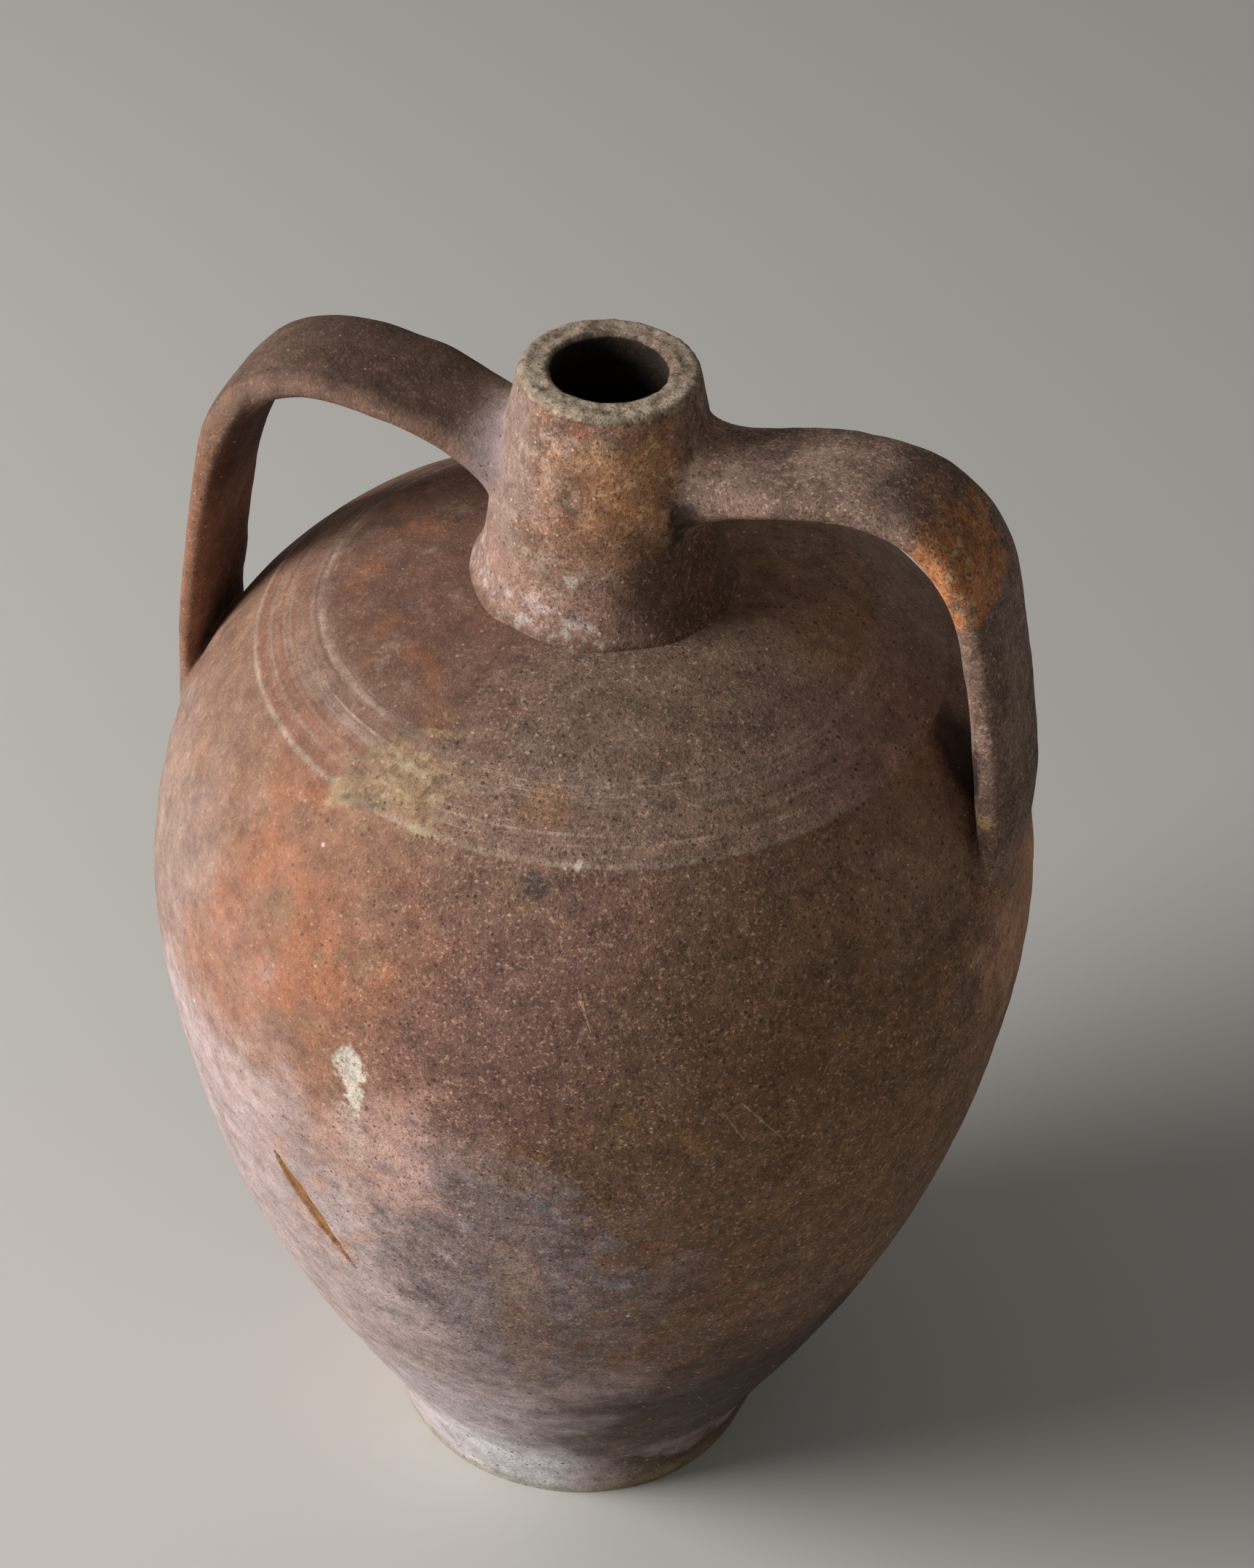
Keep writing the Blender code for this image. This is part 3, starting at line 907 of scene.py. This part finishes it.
def paint_lower_wall(g, middle, low):
    rosy = g.near(-4, 10, 0.262, 0.026, 48, soft=0.7, size=0.02)
    g.lay((212, 174, 162), rosy * 0.8)
    smoke = g.near(11, 18, 0.196, 0.068, 29, ragged=0.4, soft=0.3, size=0.025)
    g.lay((140, 124, 124), smoke * 0.85)
    g.lay((104, 88, 88), smoke * g.mottle(0.48, 0.64, 0.011, 30, detail=4) * 0.6)
    g.lay((172, 162, 170), smoke * g.mottle(0.54, 0.68, 0.0075, 31) * 0.5)
    g.lay((160, 132, 116), g.near(11.5, 3.2, 0.185, 0.055, 32, ragged=0.2, size=0.01) * 0.6)

    g.lay((112, 84, 62), g.near(56, 36, 0.165, 0.055, 33, soft=0.6) * 0.7)
    # Darker low on the right: partly the clay's own smoke-browning, partly painted shade on the
    # side that faces away from the lamp.
    smoke_and_shade = g.near(58, 44, 0.085, 0.066, 34, ragged=0.3, soft=0.45, size=0.03)
    g.lay((60, 46, 31), smoke_and_shade * 0.95)
    rust = g.near(40, 26, 0.2, 0.06, 82, ragged=0.4, soft=0.7)
    g.lay((150, 94, 60), rust * g.mottle(0.54, 0.68, 0.013, 83, detail=4) * 0.5)
    g.lay((84, 70, 56), g.near(26, 16, 0.072, 0.018, 35, soft=0.6) * 0.75)
    g.lay((196, 184, 188), g.near(-4, 20, 0.078, 0.03, 49, soft=0.7) * 0.75)

    lime = g.fall(0.03, 0.075, low + 0.0006 * (g.bearing + 10))
    lime = lime * g.right_of(-60, 4) * (1 - g.right_of(10, 30))
    g.lay((222, 221, 224), lime * 0.9)
    # The right of the foot is darker still: partly smoke-browning, partly painted shade low down
    # near the floor.
    foot = g.fall(0.026, 0.042, low)
    side = g.right_of(22, 44, (middle - 0.5) * 30)
    g.lay((76, 62, 42), foot * side * 0.9)
    g.lay((128, 110, 82), side * g.fall(0.006, 0.016, g.level) * 0.8)
    g.lay((158, 148, 118), g.fall(0.002, 0.009, g.level + (middle - 0.5) * 0.02) * 0.6)


def paint_wall_marks(g):
    front = g.near(22, 36, 0.285, 0.1, 36, ragged=0.4)
    clear = 0.3 + 0.7 * g.right_of(-45, 0)
    g.lay((206, 150, 112), front * g.specks(0.0024, 37, 0.45, 0.3, (1, 1, 0.7)) * 0.85)
    g.lay((216, 184, 160), clear * g.specks(0.0034, 38, 0.24, 0.22, (1, 1, 0.8)) * 0.8)
    g.lay((74, 54, 46), clear * g.specks(0.0028, 39, 0.42, 0.3) * 0.75)
    g.lay((226, 214, 206), g.specks(0.013, 42, 0.12, 0.07) * 0.85)
    spotted = g.near(-5, 20, 0.285, 0.05, 40, ragged=0.4)
    g.lay((60, 50, 46), spotted * g.specks(0.008, 43, 0.4, 0.1) * 0.85)

    x, y = (0.1345 * math.sin(math.radians(11)), -0.1275 * math.cos(math.radians(11)))
    g.lay((76, 68, 68), g.spot((x, y, 0.3715), (0.0065, 0.006, 0.004), 45, ragged=0.9) * 0.8)
    x = SPLASH_RADIUS * math.sin(SPLASH_BEARING)
    y = -SPLASH_RADIUS * math.cos(SPLASH_BEARING)
    splash = g.spot((x - 0.0012, y, 0.2995), (0.006, 0.008, 0.0062), 41, ragged=0.6, size=0.005)
    drip = g.spot((x + 0.001, y, 0.289), (0.0034, 0.008, 0.01), 41, ragged=0.7, size=0.004)
    ghost = g.spot((x + 0.001, y, 0.268), (0.005, 0.008, 0.016), 41, ragged=0.8, size=0.006)
    g.lay((206, 186, 172), ghost * 0.45)
    g.lay((224, 214, 198), g.most(splash, drip) * g.mottle(0.26, 0.44, 0.0026, 46) * 0.95)
    crack = g.seam(GOUGE_START, GOUGE_END, GOUGE_HALF, GOUGE_RADIUS, 0.0016)
    g.lay((158, 106, 50), crack * 0.92)
    g.lay((122, 78, 36), crack * g.mottle(0.48, 0.66, 0.006, 47) * 0.6)
    nick = g.spot((0.035, -0.1155, 0.3765), (0.0012, 0.002, 0.002), 41, ragged=0.3)
    g.lay((230, 220, 208), nick * 0.9)
    for start, end, half, radius, share in SCRATCHES:
        g.lay((206, 170, 138), g.seam(start, end, half, radius) * share)


def paint_grain(g, crisp):
    """The sandy body of the clay, which shows through every layer to a share of crispness."""
    sand = g.noise(0.0011, 50, detail=2, roughness=0.8)
    pale = g.noise(0.0017, 51, detail=2, roughness=0.75)
    cloud = g.noise(0.0044, 52, detail=3, roughness=0.7)
    blotch = g.noise(0.012, 53, detail=3, roughness=0.65)
    g.lay((70, 49, 40), g.step(0.47, 0.69, sand) * crisp * 0.68)
    bare = g.step(0.02, 0.11, g.brightness())
    g.lay((220, 184, 158), g.step(0.52, 0.74, pale) * crisp * bare * 0.48)
    mottle = (cloud - 0.5) * (0.4 + crisp * 0.9) + (blotch - 0.5) * 1.2
    g.shade(1.03 + (sand - 0.5) * 0.3 * crisp + mottle)
    return sand * 0.22 + cloud * 0.45


def crisp_on_wall(g):
    """Less sandy on the pale left of the belly, where salts fill the grain."""
    left = 0.42 + 0.63 * g.right_of(-26, 2)
    low = 0.55 + 0.45 * g.step(0.06, 0.2, g.level)
    return left * low * (1 - 0.35 * g.right_of(45, 80) * g.step(0.33, 0.37, g.level))


def crisp_on_neck(g):
    return 0.65 + 0.4 * g.right_of(-50, -10)


def crisp_on_strap(g):
    return 0.45 + 0.65 * g.step(-0.03, 0.03, g.x)


def paint_neck(g):
    broad = g.noise(0.022, 60)
    middle = g.noise(0.008, 61, detail=4, roughness=0.68)
    g.lay((150, 120, 102))
    g.lay((116, 86, 70), g.step(0.44, 0.6, broad) * 0.7)
    g.lay((186, 158, 142), g.step(0.5, 0.64, middle) * 0.65)
    g.lay((150, 98, 76), g.mottle(0.52, 0.64, 0.012, 79) * 0.5)
    left = 1 - g.right_of(-48, -12, (broad - 0.5) * 40)
    g.lay((152, 130, 122), left * 0.6)
    tan = g.near(33, 31, 0.462, 0.019, 62, soft=0.7, size=0.012)
    tan = tan * g.fall(0.03, 0.036, g.x)
    g.lay((196, 140, 96), tan * 0.85)
    g.lay((240, 204, 160), tan * g.mottle(0.54, 0.66, 0.0038, 63) * 0.65)
    g.lay((136, 94, 68), g.near(12, 40, 0.446, 0.01, 64, ragged=0.7) * 0.55)
    pink = g.fall(0.42, 0.44, g.level + (middle - 0.5) * 0.02)
    g.lay((164, 128, 114), pink * 0.55)
    g.lay((206, 190, 182), pink * g.step(0.54, 0.66, middle) * (1 - g.right_of(10, 40)) * 0.5)
    # Painted shade: the right of the neck's foot, under the right handle and away from the lamp, is
    # painted darker.
    g.lay((100, 78, 62), g.right_of(18, 46) * g.fall(0.436, 0.452, g.level) * 0.8)
    marks = g.mottle(0.52, 0.62, 0.005, 65) * g.fall(0.411, 0.422, g.level)
    g.lay((206, 198, 194), marks * (1 - g.right_of(10, 40)) * 0.55)
    g.lay((118, 90, 74), g.fall(0.4078, 0.4102, g.level + (middle - 0.5) * 0.008) * 0.8)
    nick = g.spot((0.003, -0.0405, 0.431), (0.003, 0.003, 0.0022), 41, ragged=0.9)
    g.lay((214, 200, 184), nick * 0.7)
    # A greyish darkening on the front of the right handle's root: partly the clay's tone, partly
    # painted shade on the fillet beneath the strap.
    root = g.spot((0.039, -0.018, 0.455), (0.012, 0.014, 0.014), 80, size=0.008)
    g.lay((116, 96, 88), root * 0.7)
    # Painted shade: a dark spot in the crease where the right strap's front meets the neck.
    crease_shade = g.spot((0.034, -0.02, 0.45), (0.006, 0.006, 0.007), 66, ragged=0.7, size=0.006)
    g.lay((56, 44, 40), crease_shade * 0.85)
    smear = g.spot((-0.04, -0.012, 0.46), (0.01, 0.016, 0.018), 81, size=0.01)
    g.lay((146, 132, 136), smear * 0.6)

    crust = g.step(0.4878, 0.489, g.level + (middle - 0.5) * 0.003)
    g.lay((174, 158, 138), crust * 0.85)
    pale = crust * g.fall(30.0, 110.0, g.math("ABSOLUTE", g.bearing - 6))
    g.lay((196, 182, 156), pale * g.step(0.36, 0.58, middle) * 0.75)
    g.lay((98, 78, 64), crust * g.mottle(0.52, 0.66, 0.0045, 67, detail=4) * 0.65)
    g.lay((84, 66, 54), crust * g.fall(0.0208, 0.0222, g.radius + (middle - 0.5) * 0.003) * 0.6)
    g.lay((92, 72, 58), g.step(0.4862, 0.488, g.level) * g.step(0.029, 0.03, g.radius) * 0.3)
    nick = g.spot((0.001, -0.031, 0.4835), (0.003, 0.004, 0.0018), 41, ragged=0.8)
    g.lay((168, 92, 62), nick * 0.7)
    # Painted shade: the inside of the mouth and the bore below it are painted near black, as the
    # deep hole lies in shade.
    inside = g.fall(0.0204, 0.0212, g.radius) * g.fall(0.4885, 0.4897, g.level)
    bore = g.fall(0.025, 0.0262, g.radius) * g.fall(0.4868, 0.488, g.level)
    g.lay((220, 200, 182), g.specks(0.0028, 68, 0.26, 0.24) * 0.7)
    g.lay((66, 50, 43), g.specks(0.0026, 69, 0.34, 0.26) * 0.65)
    g.lay((36, 28, 19), g.most(inside, bore))


def paint_strap(g):
    broad = g.noise(0.026, 70)
    middle = g.noise(0.009, 71, detail=4, roughness=0.65)
    right = g.step(-0.01, 0.01, g.x)
    g.lay((106, 82, 70))
    g.lay((146, 120, 107), right * 0.85)
    g.lay((92, 72, 60), g.step(0.44, 0.6, broad) * 0.6)
    g.lay((168, 140, 126), right * g.step(0.5, 0.66, middle) * 0.5)
    g.lay((140, 112, 98), (1 - right) * g.step(0.54, 0.7, middle) * 0.5)
    front = g.fall(-0.0205, -0.0175, g.y + (middle - 0.5) * 0.006)
    # The left strap's front edge is painted lighter than its smoked top: partly the clay's tone,
    # partly painted light on the edge that faces the lamp.
    g.lay((134, 104, 88), front * (1 - right) * 0.65)
    g.lay((140, 94, 68), front * (1 - right) * g.fall(0.42, 0.452, g.level) * 0.6)
    g.lay((132, 106, 92), front * right * 0.5)
    g.lay((148, 104, 82), (1 - right) * g.spot((-0.14, 0.0, 0.39), (0.02, 0.04, 0.05), 72) * 0.6)
    # Painted shade: the inner face of the left strap's bend, which faces away from the lamp, is
    # painted dark.
    below = (g.x + 0.133) * 0.9 - (g.level - 0.4446) * 0.43
    within = g.math("MINIMUM", g.x + 0.1418 - (g.level - 0.415) * 0.2, below)
    inside = g.step(0.001, 0.004, within) * g.step(0.402, 0.422, g.level)
    g.lay((58, 38, 28), inside * g.fall(-0.124, -0.118, g.x) * 0.7)
    worn = right * g.spot((0.118, 0.0, 0.462), (0.018, 0.02, 0.016), 86, ragged=0.6)
    g.lay((148, 106, 74), worn * 0.6)
    bare = g.spot((0.124, -0.008, 0.454), (0.021, 0.023, 0.021), 73, soft=0.2, size=0.012)
    g.lay((206, 134, 82), bare * 0.88)
    g.lay((150, 98, 66), bare * g.mottle(0.48, 0.6, 0.006, 74) * 0.7)
    g.lay((222, 190, 150), bare * g.mottle(0.58, 0.66, 0.0036, 75) * 0.7)
    # Painted shade, with some soot: a near-black slit at the right strap's lower front edge, where
    # it nears the wall.
    slot = g.spot((0.1415, -0.0235, 0.374), (0.003, 0.006, 0.015), 87, ragged=0.3, size=0.004)
    g.lay((34, 25, 19), slot * 0.85)
    torn = g.spot((0.147, -0.024, 0.358), (0.005, 0.006, 0.003), 88, ragged=0.4, size=0.003)
    g.lay((170, 142, 102), torn * 0.8)
    soot = g.spot((0.108, 0.004, 0.468), (0.016, 0.02, 0.012), 76, ragged=0.6, size=0.012)
    g.lay((98, 80, 72), soot * 0.6)
    g.lay((206, 186, 172), g.specks(0.003, 77, 0.22, 0.2) * 0.6)
    g.lay((62, 48, 42), g.specks(0.0028, 78, 0.34, 0.24) * 0.6)


def make_group(name, paint):
    tree = bpy.data.node_groups.new(name, "ShaderNodeTree")
    tree.interface.new_socket("Colour", in_out="OUTPUT", socket_type="NodeSocketColor")
    g = Graph(tree)
    paint(g)
    g.put(tree.nodes.new("NodeGroupOutput").inputs[0], g.colour)
    return tree


def make_clay(name, crisp, first, second=None, blend=None):
    """A clay of one paint, or of two with the second over a share of the first."""
    material = bpy.data.materials.new(name)
    material.use_nodes = True
    g = Graph(material.node_tree)
    g.colour = g.use(first)
    if second is not None:
        g.lay(g.use(second), blend(g))
    height = paint_grain(g, crisp(g))
    shader = g.tree.nodes["Principled BSDF"]
    bump = g.node("Bump", Distance=MM, Strength=1.0, Height=height)
    g.put(shader.inputs["Normal"], bump.outputs[0])
    g.put(shader.inputs["Base Color"], g.colour)
    g.put(shader.inputs["Roughness"], 0.62 + g.noise(0.009, 55) * 0.36)
    shader.inputs["Specular IOR Level"].default_value = 0.3
    return material


def neck_to_strap(g):
    return g.step(0.036, 0.052, g.math("ABSOLUTE", g.x))


def strap_to_wall(g):
    return g.fall(0.318, 0.35, g.level)


def make_clays():
    wall_paint = make_group("wall_paint", paint_wall)
    tail_paint = make_group("tail_paint", paint_tail)
    neck_paint = make_group("neck_paint", paint_neck)
    strap_paint = make_group("strap_paint", paint_strap)
    return {
        "wall": make_clay("fired_wall", crisp_on_wall, wall_paint),
        "neck": make_clay("fired_neck", crisp_on_neck, neck_paint),
        "strap": make_clay("fired_strap", crisp_on_strap, strap_paint),
        "root": make_clay("smeared_root", crisp_on_strap, neck_paint, strap_paint, neck_to_strap),
        "tail": make_clay("smeared_tail", crisp_on_strap, strap_paint, tail_paint, strap_to_wall),
        "collar": make_clay("smeared_collar", crisp_on_neck, neck_paint),
    }


def looking_at(aim, bearing, elevation, distance, roll=0.0):
    """A place at a bearing and an elevation round a point, turned to look at it."""
    flat = math.cos(elevation) * distance
    height = math.sin(elevation) * distance
    offset = Vector((math.sin(bearing) * flat, -math.cos(bearing) * flat, height))
    turned = (-offset).to_track_quat("-Z", "Y").to_matrix().to_4x4()
    return Matrix.Translation(Vector(aim) + offset) @ turned @ Matrix.Rotation(roll, 4, "Z")


def make_camera():
    data = bpy.data.cameras.new("camera")
    data.lens = CAMERA_LENS
    data.sensor_fit = "AUTO"
    data.sensor_width = SENSOR_WIDTH
    camera = bpy.data.objects.new("camera", data)
    camera.matrix_world = looking_at(
        CAMERA_AIM, CAMERA_BEARING, CAMERA_ELEVATION, CAMERA_DISTANCE, CAMERA_ROLL
    )
    show(camera)
    bpy.context.scene.camera = camera


def make_light():
    """One wide soft lamp, low on the left."""
    data = bpy.data.lights.new("key", "AREA")
    data.shape = "DISK"
    data.size = LIGHT_SIZE
    data.energy = LIGHT_POWER
    data.color = LIGHT_COLOUR
    light = bpy.data.objects.new("key", data)
    light.matrix_world = looking_at(LIGHT_AIM, LIGHT_BEARING, LIGHT_ELEVATION, LIGHT_DISTANCE)
    show(light)


def make_studio():
    scene = bpy.context.scene
    scene.view_settings.view_transform = "Standard"
    world = bpy.data.worlds.new("studio")
    world.use_nodes = True
    background = world.node_tree.nodes["Background"]
    background.inputs["Color"].default_value = SKY_COLOUR
    background.inputs["Strength"].default_value = SKY_STRENGTH
    scene.world = world
    make_light()
    mesh = bpy.data.meshes.new("floor")
    signs = ((-1, -1), (1, -1), (1, 1), (-1, 1))
    corners = [(x * FLOOR_REACH, y * FLOOR_REACH, 0) for x, y in signs]
    mesh.from_pydata(corners, [], [(0, 1, 2, 3)])
    floor = bpy.data.objects.new("floor", mesh)
    paint = bpy.data.materials.new("floor_paint")
    paint.use_nodes = True
    shader = paint.node_tree.nodes["Principled BSDF"]
    shader.inputs["Base Color"].default_value = FLOOR_COLOUR
    shader.inputs["Roughness"].default_value = FLOOR_ROUGHNESS
    mesh.materials.append(paint)
    show(floor)


make_camera()
make_studio()
clays = make_clays()
make_walls(clays)
make_neck(clays)
make_handle("left", LEFT_PATH, LEFT_WIDTH, LEFT_THICKNESS, LEFT_ROOT, LEFT_TAIL, clays)
make_handle("right", RIGHT_PATH, RIGHT_WIDTH, RIGHT_THICKNESS, RIGHT_ROOT, RIGHT_TAIL, clays)
